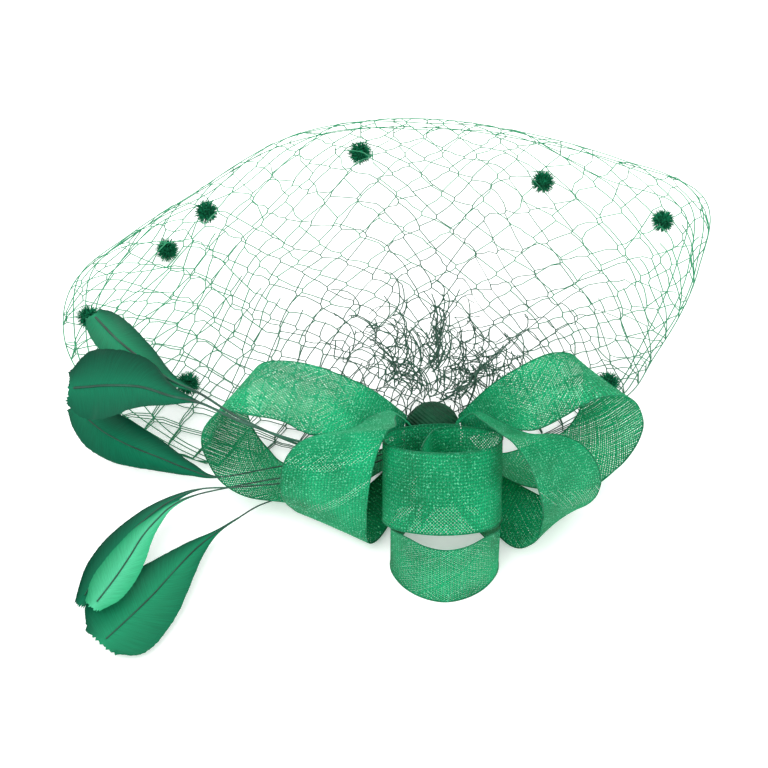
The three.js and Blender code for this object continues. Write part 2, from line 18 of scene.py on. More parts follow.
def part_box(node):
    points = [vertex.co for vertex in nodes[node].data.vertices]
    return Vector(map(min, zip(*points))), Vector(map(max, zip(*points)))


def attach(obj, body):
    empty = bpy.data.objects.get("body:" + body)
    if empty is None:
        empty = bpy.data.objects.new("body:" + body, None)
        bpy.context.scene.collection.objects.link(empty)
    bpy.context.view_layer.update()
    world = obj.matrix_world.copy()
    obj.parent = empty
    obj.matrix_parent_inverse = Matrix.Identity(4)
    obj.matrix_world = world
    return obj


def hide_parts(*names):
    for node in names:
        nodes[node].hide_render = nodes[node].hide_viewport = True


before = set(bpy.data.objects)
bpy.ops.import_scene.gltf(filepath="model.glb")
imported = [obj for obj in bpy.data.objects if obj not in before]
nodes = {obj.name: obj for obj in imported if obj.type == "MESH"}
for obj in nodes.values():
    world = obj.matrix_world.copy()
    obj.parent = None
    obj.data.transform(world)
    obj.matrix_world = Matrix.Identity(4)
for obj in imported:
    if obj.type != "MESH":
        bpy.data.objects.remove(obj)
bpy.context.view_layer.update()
print("solids in the frame:", len(nodes))

# %% [markdown]
# ## Sizes
#
# All sizes are in millimetres, X to the right, Y away from the viewer and Z up from the table.
# They become metres only where a mesh is made. The ribbon's width is the ruler of the bow: its
# tables hold shares of it, so that one number scales the whole bow.

# %% Named sizes
MM = 0.001
RIBBON_WIDTH = 38.0
RIBBON_THICKNESS = 1.0
CLEARANCE = 0.3
KNOT_RADIUS = 11.5
KNOT_SHOULDER = 25.0
ROLL_RADIUS = 24.0
ROLL_LEAN = math.radians(37)
ROLL_WIDTH = 33.5
VEIL_REACH = 170.0
VEIL_HEIGHT = 74.0
DOT_RADIUS = 4.6
QUILL_RADIUS = 0.9


def smooth_row(rows, t):
    """The row at t, from 0 to 1, on a smooth curve through the rows of a table."""
    place = min(max(t, 0.0), 1.0) * (len(rows) - 1)
    index = min(int(place), len(rows) - 2)
    u = place - index
    before, start = rows[max(index - 1, 0)], rows[index]
    end, after = rows[index + 1], rows[min(index + 2, len(rows) - 1)]
    slope_in = (end - before) / 2
    slope_out = (after - start) / 2
    return (
        (2 * u**3 - 3 * u**2 + 1) * start + (u**3 - 2 * u**2 + u) * slope_in
        + (3 * u**2 - 2 * u**3) * end + (u**3 - u**2) * slope_out
    )


print("ribbon", RIBBON_WIDTH, "mm wide, veil", VEIL_REACH, "mm deep and", VEIL_HEIGHT, "mm high")

# %% [markdown]
# ## Small helpers
#
# A few helpers do the plumbing. They make a mesh from points in millimetres, add a node to a tree
# and set its inputs, start and end a Geometry Nodes tree, and join pieces. One of them runs a tree
# on an object and keeps the result as a plain mesh, because only plain meshes are exported.

# %% Helpers for meshes and nodes
def mesh_piece(name, points, edges=(), faces=()):
    """A new object at the origin, with its points given in millimetres."""
    mesh = bpy.data.meshes.new(name)
    mesh.from_pydata([tuple(np.asarray(p) * MM) for p in points], edges, faces)
    piece = bpy.data.objects.new(name, mesh)
    bpy.context.scene.collection.objects.link(piece)
    return piece


def add_node(tree, kind, settings=None, **inputs):
    """A node with its properties, and its inputs' values or links by name, or i0 for the first."""
    made = tree.nodes.new(kind)
    for key, value in (settings or {}).items():
        setattr(made, key, value)
    for key, value in inputs.items():
        by_number = key[0] == "i" and key[1:].isdigit()
        socket = made.inputs[int(key[1:]) if by_number else key.replace("_", " ")]
        if isinstance(value, bpy.types.NodeSocket):
            tree.links.new(value, socket)
        else:
            socket.default_value = value
    return made


def new_tree(name, sizes):
    """A Geometry Nodes tree with one geometry input and named inputs: {name: (kind, value)}."""
    tree = bpy.data.node_groups.new(name, "GeometryNodeTree")
    tree.interface.new_socket("Geometry", in_out="INPUT", socket_type="NodeSocketGeometry")
    for label, (kind, value) in sizes.items():
        socket = tree.interface.new_socket(label, in_out="INPUT", socket_type=kind)
        if value is not None:
            socket.default_value = value
    tree.interface.new_socket("Geometry", in_out="OUTPUT", socket_type="NodeSocketGeometry")
    return tree, tree.nodes.new("NodeGroupInput"), tree.nodes.new("NodeGroupOutput")


def finish_tree(tree, start, end, geometry):
    """Every tree ends the same way: instances made real, smooth faces, and a material."""
    real = add_node(tree, "GeometryNodeRealizeInstances", i0=geometry)
    smooth = add_node(tree, "GeometryNodeSetShadeSmooth", i0=real.outputs[0])
    painted = add_node(tree, "GeometryNodeSetMaterial", i0=smooth.outputs[0],
                       Material=start.outputs["Material"])
    tree.links.new(painted.outputs[0], end.inputs[0])


def grow(piece, tree, **values):
    """Run a tree on a piece and keep the result as the piece's own plain mesh."""
    modifier = piece.modifiers.new("grow", "NODES")
    modifier.node_group = tree
    for item in tree.interface.items_tree:
        key = item.name.replace(" ", "_").lower()
        if item.in_out == "INPUT" and key in values:
            modifier[item.identifier] = values[key]
    bpy.context.view_layer.update()
    evaluated = piece.evaluated_get(bpy.context.evaluated_depsgraph_get())
    grown = bpy.data.meshes.new_from_object(evaluated)
    piece.modifiers.clear()
    piece.data = grown
    print(piece.name, "triangles:", sum(len(p.vertices) - 2 for p in grown.polygons))
    return piece


def join(piece, others):
    """Several pieces made one mesh."""
    bpy.ops.object.select_all(action="DESELECT")
    for other in (piece, *others):
        other.select_set(True)
    bpy.context.view_layer.objects.active = piece
    bpy.ops.object.join()
    return piece


# %% [markdown]
# ## Threads
#
# Most of this object is thread: braid, net and quills. One kind of tree grows them all. It takes
# the edges of a mesh as centre lines, turns each point's normal to the stored direction called
# lay, and sweeps a section along the line. Braid gets a half-round section, which costs four
# triangles a step, half of a square one's, and from outside it looks like a round thread.

# %% The tree that grows threads
def thread_tree(name, round_sides=0):
    """Sweep a section along edges. No round sides gives a flat half-round tape."""
    tree, start, end = new_tree(name, {
        "Half Width": ("NodeSocketFloat", 0.0004),
        "Rise": ("NodeSocketFloat", 0.0002),
        "Material": ("NodeSocketMaterial", None),
    })
    lines = add_node(tree, "GeometryNodeMeshToCurve", i0=start.outputs["Geometry"])
    stored = "GeometryNodeInputNamedAttribute"
    lay = add_node(tree, stored, {"data_type": "FLOAT_VECTOR"}, Name="lay")
    thick = add_node(tree, stored, {"data_type": "FLOAT"}, Name="thick")
    turned = add_node(tree, "GeometryNodeSetCurveNormal", {"mode": "FREE"}, i0=lines.outputs[0])
    tree.links.new(lay.outputs[0], turned.inputs["Normal"])
    sized = add_node(tree, "GeometryNodeSetCurveRadius", i0=turned.outputs[0])
    tree.links.new(thick.outputs[0], sized.inputs["Radius"])
    if round_sides:
        circle = add_node(tree, "GeometryNodeCurvePrimitiveCircle", {"mode": "RADIUS"},
                          Resolution=round_sides)
        tree.links.new(start.outputs["Half Width"], circle.inputs["Radius"])
        section = circle.outputs[0]
    else:
        wide = add_node(tree, "ShaderNodeMath", {"operation": "MULTIPLY"},
                        i0=start.outputs["Half Width"], i1=-1.0)
        left = add_node(tree, "ShaderNodeCombineXYZ", Y=wide.outputs[0])
        top = add_node(tree, "ShaderNodeCombineXYZ", X=start.outputs["Rise"])
        right = add_node(tree, "ShaderNodeCombineXYZ", Y=start.outputs["Half Width"])
        arc = add_node(tree, "GeometryNodeCurveQuadraticBezier", Resolution=2,
                       Start=left.outputs[0], Middle=top.outputs[0], End=right.outputs[0])
        section = arc.outputs[0]
    swept = add_node(tree, "GeometryNodeCurveToMesh", i0=sized.outputs[0], i1=section)
    finish_tree(tree, start, end, swept.outputs[0])
    return tree


TAPE = thread_tree("tape")
ROUND = thread_tree("round_thread", round_sides=4)
QUILL = thread_tree("quill_thread", round_sides=8)


def thread_lines(name, lines, lays=None, thicks=None):
    """A mesh of centre lines in millimetres, with the attributes that the thread tree reads."""
    points, edges, lay, thick = [], [], [], []
    for index, line in enumerate(lines):
        first = len(points)
        points.extend(line)
        edges.extend((first + k, first + k + 1) for k in range(len(line) - 1))
        lay.extend(lays[index] if lays is not None else [(0, 0, 1)] * len(line))
        thick.extend(thicks[index] if thicks is not None else [1.0] * len(line))
    piece = mesh_piece(name, points, edges)
    stored = piece.data.attributes.new("lay", "FLOAT_VECTOR", "POINT")
    stored.data.foreach_set("vector", np.array(lay, np.float32).ravel())
    stored = piece.data.attributes.new("thick", "FLOAT", "POINT")
    stored.data.foreach_set("value", np.array(thick, np.float32))
    return piece


print("thread trees:", TAPE.name, ROUND.name, QUILL.name)

# %% [markdown]
# ## Colours and finishes
#
# The piece is dyed one green, but each material takes it in its own way, and some finishes also
# paint in light and shade, so each finish is made in the cell that first needs it. Thread and barbs
# let light through, so their shaders mix a translucent part in. Colours are given as in a paint
# program and turned to linear light.

# %% Shader helpers
def linear(red, green, blue):
    """A colour of 0 to 255 as linear light."""
    def channel(value):
        value /= 255
        return value / 12.92 if value <= 0.04045 else ((value + 0.055) / 1.055) ** 2.4
    return (channel(red), channel(green), channel(blue), 1.0)


def new_material(name):
    """A material with one surface shader, and the nodes to go on from."""
    material = bpy.data.materials.new(name)
    material.use_nodes = True
    tree = material.node_tree
    tree.nodes.clear()
    out = tree.nodes.new("ShaderNodeOutputMaterial")
    surface = tree.nodes.new("ShaderNodeBsdfPrincipled")
    tree.links.new(surface.outputs[0], out.inputs[0])
    return material, tree, surface, out


def object_place(tree):
    """Object coordinates, which stay with a piece wherever it is moved."""
    return tree.nodes.new("ShaderNodeTexCoord").outputs["Object"]


def spread(tree, value, low, high, to_low=0.0, to_high=1.0):
    """A value's range from low to high, stretched to another range."""
    return add_node(tree, "ShaderNodeMapRange", Value=value, From_Min=low, From_Max=high,
                    To_Min=to_low, To_Max=to_high).outputs[0]


def mixed_colour(tree, share, under, over, blend="MIX"):
    """One colour laid over another by a share, or multiplied into it."""
    return add_node(tree, "ShaderNodeMix", {"data_type": "RGBA", "blend_type": blend},
                    i0=share, i6=under, i7=over).outputs[2]


def colour_noise(tree, dark, light, scale, low=0.35, high=0.65):
    """A blend of two colours by noise on the object's own coordinates."""
    noise = add_node(tree, "ShaderNodeTexNoise", Vector=object_place(tree), Scale=scale, Detail=4.0)
    return mixed_colour(tree, spread(tree, noise.outputs[0], low, high), dark, light)


def set_surface(tree, surface, colour, roughness, specular=0.5, metallic=0.0):
    """Give a surface its colour and the way it shines."""
    tree.links.new(colour, surface.inputs["Base Color"])
    surface.inputs["Roughness"].default_value = roughness
    surface.inputs["Specular IOR Level"].default_value = specular
    surface.inputs["Metallic"].default_value = metallic


def see_through(tree, surface, out, colour, share):
    """Mix light that passes through the thread into the surface."""
    passing = add_node(tree, "ShaderNodeBsdfTranslucent", Color=colour)
    mixed = add_node(tree, "ShaderNodeMixShader", i0=share, i1=surface.outputs[0],
                     i2=passing.outputs[0])
    tree.links.new(mixed.outputs[0], out.inputs[0])


def plain_material(name, dark, light, scale, roughness, specular=0.5, metallic=0.0):
    """A finish that only drifts between two shades of one colour."""
    material, tree, surface, _ = new_material(name)
    colour = colour_noise(tree, dark, light, scale)
    set_surface(tree, surface, colour, roughness, specular, metallic)
    return material


print("full green of the dye, as linear light:", [round(v, 3) for v in linear(6, 190, 126)[:3]])

# %% [markdown]
# ## The ribbons' shapes
#
# A crin ribbon can bend and flare but hardly stretches, so its shape is two edge curves with
# straight threads between them. Each row of a table is one section across the ribbon. The ends
# are pinched against the knot, where the maker has sewn them down.

# %% Tables of the bow
# Each end: azimuth in degrees, height in mm, share of the width, rise of its near edge.
# Each row, in ribbon widths: far edge x, y, z, near edge x, y, z.
BOW = {
    "crin_loop_back_left": ((170, 24, 0.36, 0.06), [
        (-0.66, 0.25, 1.02, -0.84, -0.42, 1.15),
        (-1.12, 0.36, 1.21, -1.29, -0.62, 1.33),
        (-1.44, 0.45, 1.24, -1.61, -0.52, 1.43),
        (-1.72, 0.50, 1.21, -1.93, -0.45, 1.44),
        (-1.90, 0.50, 1.13, -2.25, -0.39, 1.43),
        (-2.02, 0.41, 0.95, -2.44, -0.45, 1.24),
        (-2.05, 0.36, 0.68, -2.48, -0.49, 1.00),
        (-2.02, 0.32, 0.42, -2.42, -0.54, 0.75),
        (-1.94, 0.25, 0.24, -2.28, -0.64, 0.53),
        (-1.82, 0.14, 0.14, -2.03, -0.78, 0.47),
        (-1.63, -0.06, 0.12, -1.71, -0.83, 0.45),
        (-1.18, -0.23, 0.17, -1.20, -0.87, 0.46),
        (-0.74, -0.17, 0.31, -0.77, -0.62, 0.50),
    ], (190, 17, 0.32, 0.06)),
    "crin_loop_back_right": ((10, 24, 0.36, 0.06), [
        (0.62, 0.30, 1.02, 0.78, -0.38, 1.12),
        (0.95, 0.42, 1.21, 1.08, -0.54, 1.31),
        (1.22, 0.56, 1.24, 1.40, -0.41, 1.39),
        (1.41, 0.65, 1.18, 1.66, -0.27, 1.46),
        (1.55, 0.69, 1.08, 1.97, -0.16, 1.42),
        (1.65, 0.67, 0.89, 2.15, -0.11, 1.27),
        (1.68, 0.64, 0.66, 2.25, -0.09, 1.03),
        (1.67, 0.58, 0.42, 2.27, -0.13, 0.80),
        (1.61, 0.51, 0.24, 2.18, -0.23, 0.58),
        (1.44, 0.35, 0.14, 1.99, -0.41, 0.47),
        (1.09, 0.20, 0.12, 1.66, -0.54, 0.29),
        (0.81, 0.05, 0.17, 1.05, -0.61, 0.41),
        (0.55, -0.03, 0.31, 0.64, -0.46, 0.50),
    ], (-10, 17, 0.32, 0.06)),
    "crin_loop_front_left": ((206, 32, 0.2, 0.06), [
        (-0.46, -0.13, 1.12, -0.37, -0.25, 1.18),
        (-0.66, -0.36, 1.31, -0.42, -0.50, 1.45),
        (-0.87, -0.59, 1.39, -0.41, -0.81, 1.70),
        (-1.33, -0.77, 1.45, -0.50, -0.93, 1.75),
        (-1.54, -0.91, 1.34, -0.60, -1.04, 1.56),
        (-1.62, -1.01, 1.08, -0.67, -1.18, 1.33),
        (-1.62, -0.99, 0.74, -0.71, -1.26, 0.98),
        (-1.54, -0.87, 0.39, -0.72, -1.25, 0.56),
        (-1.36, -0.79, 0.16, -0.69, -1.23, 0.22),
        (-0.96, -0.62, 0.11, -0.52, -0.96, 0.10),
    ], (216, 10.5, 0.28, 0)),
    "crin_loop_front_right": ((-18, 32, 0.2, 0.06), [
        (0.48, -0.08, 1.05, 0.40, -0.18, 1.13),
        (0.70, -0.30, 1.16, 0.50, -0.48, 1.40),
        (1.00, -0.58, 1.29, 0.68, -0.90, 1.69),
        (1.33, -0.62, 1.32, 0.81, -1.14, 1.83),
        (1.61, -0.68, 1.18, 0.95, -1.26, 1.66),
        (1.78, -0.74, 0.84, 1.06, -1.26, 1.30),
        (1.77, -0.76, 0.47, 1.14, -1.33, 1.00),
        (1.62, -0.73, 0.21, 1.14, -1.35, 0.72),
        (1.42, -0.66, 0.09, 1.06, -1.38, 0.42),
        (1.10, -0.46, 0.12, 0.78, -1.10, 0.08),
    ], (-36, 10.5, 0.28, 0)),
}


def beside_knot(level):
    """How far from the knot's axis an end lies at a height."""
    above = max(level - KNOT_SHOULDER, 0)
    radius = math.sqrt(max(KNOT_RADIUS**2 - above**2, 1))
    return radius + CLEARANCE + 0.35 * RIBBON_THICKNESS


def pinched_end(azimuth, level, share, rise):
    """One end of a loop, sewn down beside the knot."""
    angle = math.radians(azimuth)
    reach = beside_knot(level)
    centre = np.array([math.cos(angle) * reach, math.sin(angle) * reach, level])
    across = np.array([-math.sin(angle), math.cos(angle), 0.0])
    if across[1] > 0:
        across = -across
    across = across * share * RIBBON_WIDTH / 2
    across[2] = rise * RIBBON_WIDTH / 2
    return np.concatenate([centre - across, centre + across])


def bow_rows(start, rows, end):
    """All sections of a loop in millimetres, from one pinched end to the other."""
    sections = [np.array(row) * RIBBON_WIDTH for row in rows]
    return [pinched_end(*start), *sections, pinched_end(*end)]


print("sections of each loop:", [len(rows) + 2 for _, rows, _ in BOW.values()])

# %% [markdown]
# The centre roll is one spiral wound on a leaning axis, and the lower loop stands on its edge like
# a collar. Both follow from a plan and two heights, so their tables are shorter.

# %% The roll and the lower loop
# Each row of the spiral, in roll radii: to the right, and towards the back.
ROLL_SPIRAL = [
    (0.32, 0.95), (0.00, 1.00), (-0.42, 0.90), (-0.80, 0.60), (-1.00, 0.10), (-0.93, -0.42),
    (-0.62, -0.80), (-0.10, -1.00), (0.45, -0.90), (0.85, -0.55), (1.00, 0.00), (0.90, 0.45),
    (0.58, 0.74), (0.18, 0.82), (-0.12, 0.60), (-0.24, 0.15), (-0.32, -0.30), (-0.36, -0.62),
]


def roll_rows():
    """Sections of the roll: the spiral laid round its leaning axis, just before the knot."""
    axis = np.array([0, math.sin(ROLL_LEAN), math.cos(ROLL_LEAN)])
    back = np.array([0, math.cos(ROLL_LEAN), -math.sin(ROLL_LEAN)])
    gap = ROLL_RADIUS + RIBBON_THICKNESS / 2 + CLEARANCE + KNOT_RADIUS
    middle = np.array([0, 0, KNOT_SHOULDER]) - back * gap - axis * 0.35 * ROLL_WIDTH
    middle[0] = 0.09 * RIBBON_WIDTH
    rows = []
    for across, towards in ROLL_SPIRAL:
        centre = middle + back * towards * ROLL_RADIUS
        centre[0] += across * ROLL_RADIUS
        half = axis * ROLL_WIDTH / 2
        rows.append(np.concatenate([centre + half, centre - half]))
    return rows


# Each row of an arm, in ribbon widths: out from the middle, y, lower and upper edge's height.
# The arms start at different places, so their first three sections have an x of their own.
LOWER_MIDDLE = 0.12
LOWER_ARM = [
    (0.20, -0.53, 0.15, 0.37), (0.33, -0.77, 0.03, 0.20), (0.47, -0.98, 0.01, 0.34),
    (0.55, -1.20, 0, 0.54), (0.58, -1.36, 0, 0.68), (0.54, -1.51, 0, 0.80),
    (0.41, -1.68, 0, 0.92), (0.22, -1.80, 0, 0.92),
]
LOWER_LEFT_STARTS = (-0.12, -0.21, -0.34)
LOWER_RIGHT_STARTS = (0.20, 0.36, 0.56)


def lower_foot(x):
    """Where an arm of the lower loop starts, on the knot's foot."""
    y = -math.sqrt(beside_knot(0) ** 2 - (x * RIBBON_WIDTH) ** 2)
    return (x, y / RIBBON_WIDTH, 0.2, 0.44)


def lower_rows():
    """Sections of the lower loop: its left arm, its front and its right arm."""
    left = [(LOWER_MIDDLE - x, y, low, high) for x, y, low, high in LOWER_ARM]
    right = [(LOWER_MIDDLE + x, y, low, high) for x, y, low, high in LOWER_ARM]
    for k, starts in enumerate(zip(LOWER_LEFT_STARTS, LOWER_RIGHT_STARTS)):
        left[k] = (starts[0], *left[k][1:])
        right[k] = (starts[1], *right[k][1:])
    front = (LOWER_MIDDLE, -1.85, 0, 0.92)
    plan = [lower_foot(-0.065), *left, front, *reversed(right), lower_foot(0.085)]
    return [np.array([x, y, high, x, y, low]) * RIBBON_WIDTH for x, y, low, high in plan]


print("sections of the roll and the lower loop:", len(roll_rows()), len(lower_rows()))

# %% [markdown]
# ## Braiding the crin
#
# Crin is braided flat on the bias: two sets of nylon threads cross at right angles, each going
# over and under at every crossing. All the crossings of one row lie on one line along the ribbon,
# which is why crin shows fine lengthwise rows. The threads here are laid the same way on the
# ribbon's surface, so light shines through real holes where the ribbon is single.

# %% Nylon thread
# How thick a thread is where it dives under; the nylon finish also paints shade on it there.
UNDER_THICK = 0.86


def crin_material(name, deep, bright, painted_glint, share):
    """Nylon thread: painted glints over slow drifts of tone, with painted shade where it dives
    under and painted light where it lies over.
    """
    material, tree, surface, out = new_material(name)
    slow = colour_noise(tree, deep, bright, 45.0, 0.30, 0.72)
    # Painted glints: fine noise lays the bright third colour on the thread in small spots, as light
    # that sparkles off and through the nylon.
    glint_noise = add_node(tree, "ShaderNodeTexNoise", Vector=object_place(tree), Scale=1500.0,
                      Detail=1.0)
    colour = mixed_colour(tree, spread(tree, glint_noise.outputs[0], 0.58, 0.74), slow, painted_glint)
    # Painted shade and light: the thick value, low where a thread dives under, darkens it there and
    # brightens it where it lies over.
    thick = add_node(tree, "ShaderNodeAttribute", {"attribute_name": "thick"})
    shade = spread(tree, thick.outputs["Fac"], UNDER_THICK, 1.0, 0.62, 1.12)
    colour = mixed_colour(tree, 1.0, colour, shade, "MULTIPLY")
    set_surface(tree, surface, colour, roughness=0.4, specular=0.2)
    see_through(tree, surface, out, colour, share)
    return material


# Each finish: its deep and bright tone, the colour of its painted glints, and how much light passes
# through.
CRIN = crin_material(
    "crin_nylon", linear(0, 138, 86), linear(6, 190, 126), linear(132, 244, 198), 0.32)
CRIN_EDGE = crin_material(
    "crin_edge_thread", linear(2, 92, 58), linear(8, 124, 80), linear(40, 164, 118), 0.15)
print("nylon finishes:", CRIN.name, CRIN_EDGE.name)

# %% Lay the braid on a ribbon
WHOLE_TURN = 6.3
ROW_PITCH = 0.70
THREAD_WIDTH = 0.69
ROLL_THREAD = 0.65
THREAD_RISE = 0.26
THREAD_LIFT = 0.13
THREAD_SLIP = 0.10
EDGE_RADIUS = 0.36
FLOOR_GAP = 0.02


def ribbon_frames(rows, step):
    """Sections one step apart along the ribbon: its far edge, its near edge and its normal."""
    dense = np.array([smooth_row(rows, t) for t in np.linspace(0, 1, 40 * len(rows))])
    middle = (dense[:, :3] + dense[:, 3:]) / 2
    length = np.concatenate([[0], np.cumsum(np.linalg.norm(np.diff(middle, axis=0), axis=1))])
    count = int(round(length[-1] / step))
    places = np.linspace(0, length[-1], count + 1)
    even = np.stack([np.interp(places, length, dense[:, k]) for k in range(6)], axis=1)
    forward = np.gradient(even[:, :3] + even[:, 3:], axis=0)
    normal = np.cross(forward, even[:, 3:] - even[:, :3])
    normal /= np.linalg.norm(normal, axis=1)[:, None]
    return even[:, :3], even[:, 3:], normal


def braid(name, rows, width=RIBBON_WIDTH, thread=THREAD_WIDTH, seed=1):
    """The two sets of threads of a ribbon, as one piece."""
    chance = random.Random(seed)
    far, near, normal = ribbon_frames(rows, ROW_PITCH)
    across = int(round(width / ROW_PITCH))
    last = len(far) - 1
    along = np.gradient(far + near, axis=0)
    along /= np.linalg.norm(along, axis=1)[:, None]
    lines, lays, thicks = [], [], []
    for direction in (1, -1):
        first = -across if direction > 0 else 0
        for start in range(first, first + last + across + 1, 2):
            line, lay, thick = [], [], []
            drift = chance.uniform(-0.06, 0.06)
            slip, wave = chance.gauss(0, THREAD_SLIP), chance.uniform(0, WHOLE_TURN)
            for k in range(across + 1):
                station = start + direction * k
                if not 0 <= station <= last:
                    continue
                share = k / across
                over = k % 2 == 0
                lift = THREAD_LIFT * ((1 if over else -1) * direction + drift)
                point = far[station] * (1 - share) + near[station] * share
                shift = slip + THREAD_SLIP * math.sin(0.5 * k + wave)
                line.append(point + normal[station] * lift + along[station] * shift)
                lay.append(normal[station])
                # The under-crossing's thick value thins the thread and marks it for painted shade.
                thick.append(1.0 if over else UNDER_THICK)
            if len(line) > 1:
                lines.append(line)
                lays.append(lay)
                thicks.append(thick)
    piece = thread_lines(name, lines, lays, thicks)
    return grow(piece, TAPE, half_width=thread / 2 * MM, rise=THREAD_RISE * MM, material=CRIN)


def edge_threads(name, rows):
    """The heavier thread that runs along both edges and keeps the braid from fraying."""
    lines = ribbon_frames(rows, 3 * ROW_PITCH)[:2]
    for line in lines:
        line[:, 2] = np.maximum(line[:, 2], EDGE_RADIUS)
    piece = thread_lines(name, [list(line) for line in lines])
    return grow(piece, ROUND, half_width=EDGE_RADIUS * MM, material=CRIN_EDGE)


def ribbon(node, rows, width=RIBBON_WIDTH, thread=THREAD_WIDTH, seed=1):
    """One finished ribbon: braid and edge threads, kept above the table."""
    piece = braid(f"woven_{node}", rows, width, thread, seed)
    join(piece, [edge_threads(f"edges_{node}", rows)])
    for vertex in piece.data.vertices:
        vertex.co.z = max(vertex.co.z, FLOOR_GAP * MM)
    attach(piece, "root")
    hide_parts(node)
    far, near, _ = ribbon_frames(rows, ROW_PITCH)
    return piece


# %% Braid all six ribbons
for order, (node, (start, rows, end)) in enumerate(BOW.items()):
    ribbon(node, bow_rows(start, rows, end), seed=order + 1)
ribbon("crin_roll", roll_rows(), ROLL_WIDTH, ROLL_THREAD, seed=5)
ribbon("crin_loop_lower", lower_rows(), seed=6)

# %% [markdown]
# ## The veil's folds
#
# The veil is one round of net, gathered to a point behind the knot and folded back under itself,
# so it has an upper and a lower layer that meet in a soft rim. Each row of the table is one fold
# of the pouf, seen as a profile that leaves the gather, climbs to a crest, turns over at the rim
# and comes back along the table.

# %% Fold table and the veil's surface
# Each row: azimuth in degrees; reach as a share of the veil's; heights of the rim, the crest and
# the gather as shares of the veil's; how far out the crest lies, as a share of the reach.
FOLDS = np.array([
    (4, 0.30, 0.022, 0.036, 0.036, 0.5),
    (10, 0.38, 0.024, 0.040, 0.040, 0.5),
    (17, 0.53, 0.05, 0.14, 0.18, 0.5),
    (26, 0.65, 0.08, 0.38, 0.33, 0.55),
    (37, 0.88, 0.20, 0.60, 0.33, 0.58),
    (46, 1.05, 0.32, 0.44, 0.33, 0.60),
    (58, 0.95, 0.54, 0.60, 0.33, 0.62),
    (73, 0.85, 0.74, 0.95, 0.33, 0.66),
    (89, 0.82, 0.84, 1.00, 0.33, 0.66),
    (104, 0.86, 0.78, 0.98, 0.33, 0.66),
    (117, 0.91, 0.66, 0.88, 0.33, 0.64),
    (129, 0.95, 0.46, 0.60, 0.33, 0.60),
    (142, 1.00, 0.30, 0.72, 0.33, 0.58),
    (152, 1.05, 0.20, 0.52, 0.33, 0.56),
    (161, 1.00, 0.11, 0.32, 0.30, 0.52),
    (170, 0.87, 0.05, 0.12, 0.16, 0.50),
    (180, 0.70, 0.024, 0.044, 0.040, 0.5),
    (189, 0.54, 0.022, 0.038, 0.036, 0.5),
])
GATHER_HALF = 6.0
GATHER_Y = KNOT_RADIUS + CLEARANCE + 0.45
LAYER_FLOOR = 0.62
PROFILE_COUNT = 261
CURVE_POINTS = 81
SHARES = np.linspace(0, 1, PROFILE_COUNT)


def fold_profile(across):
    """The profile of the veil at a share of its width: azimuth, and points with their lengths."""
    azimuth, reach_share, rim, crest, gather, crest_share = smooth_row(FOLDS, across)
    reach = reach_share * VEIL_REACH
    rim_z = max(rim * VEIL_HEIGHT, LAYER_FLOOR + 0.4)
    crest_z, gather_z = crest * VEIL_HEIGHT, gather * VEIL_HEIGHT
    controls = np.array([
        (GATHER_HALF, gather_z),
        (crest_share * reach * 0.5, gather_z + (crest_z - gather_z) * 0.66),
        (crest_share * reach, crest_z),
        (0.88 * reach, rim_z + (crest_z - rim_z) * 0.5),
        (0.975 * reach, rim_z + (crest_z - rim_z) * 0.16),
        (reach, rim_z * 0.86),
        (0.965 * reach, max(rim_z * 0.5, LAYER_FLOOR)),
        (0.82 * reach, max(rim_z * 0.14, LAYER_FLOOR)),
        (0.5 * reach, LAYER_FLOOR),
        (0.26 * reach, LAYER_FLOOR),
        (GATHER_HALF, LAYER_FLOOR),
    ])
    curve = np.array([smooth_row(controls, t) for t in np.linspace(0, 1, CURVE_POINTS)])
    curve[:, 1] = np.maximum(curve[:, 1], LAYER_FLOOR)
    length = np.concatenate([[0], np.cumsum(np.linalg.norm(np.diff(curve, axis=0), axis=1))])
    return math.radians(azimuth), curve, length


PROFILES = [fold_profile(across) for across in SHARES]
AZIMUTHS = np.array([profile[0] for profile in PROFILES])
print("veil profiles:", len(PROFILES), "the longest",
      round(max(lengths[-1] for _, _, lengths in PROFILES)), "mm from gather to gather")

# %% [markdown]
# ## Knotting the net
#
# Millinery net has diamond meshes: two threads twist together at every knot, part, and meet their
# other neighbours. The knots lie on a flat lattice. A power map bends the lattice round the gather
# and makes its meshes smaller there, as drawn-up net does, and then the lattice is laid on the
# upper and on the lower layer. Both layers meet in the rim, where the net is folded over. At both
# sides, where the net is drawn up most, a pleat between the layers carries the lattice once more.

# %% Net thread
# The middle of the gather, round which the net thread is painted darker as shade.
GATHER_MIDDLE = (0, 0.015, 0.03)


def net_material():
    """Net thread: painted shade darkens it close to the gather, and it is paler towards the far
    folds.
    """
    material, tree, surface, out = new_material("net_thread")
    # Painted shade: the thread is darkest up to about six centimetres from the gather and pales
    # further out.
    away = add_node(tree, "ShaderNodeVectorMath", {"operation": "DISTANCE"},
                    i0=object_place(tree), i1=GATHER_MIDDLE)
    far = spread(tree, away.outputs["Value"], 0.06, 0.13)
    colour = mixed_colour(tree, far, linear(22, 80, 60), linear(20, 150, 100))
    set_surface(tree, surface, colour, roughness=0.5)
    surface.inputs["Sheen Weight"].default_value = 0.2
    see_through(tree, surface, out, colour, 0.15)
    return material


NET = net_material()
print("net finish:", NET.name)

# %% Lay the lattice on the veil
MESH_WIDE = 13.4
MESH_DEEP = 13.2
MESH_AT = 120.0
BEND_POWER = 0.74
TWIST_SHARE = 0.10
PLEATS_FROM = math.radians(36)
THREAD_STEP = 3.0
NET_ROWS = 29
NET_COLUMNS = 27
NET_FLOOR = 0.3
NET_LIFT = 0.25
LAYER_POINTS = 101
UPPER, LOWER, PLEAT = 0, 1, 2
# Each flute: its azimuth and width in degrees, and its rise in mm.
FLUTES = [(108, 5.5, 6.0), (72, 5.5, 7.0), (89, 9.0, -7.0), (132, 6.0, 4.0), (50, 6.0, 4.0)]


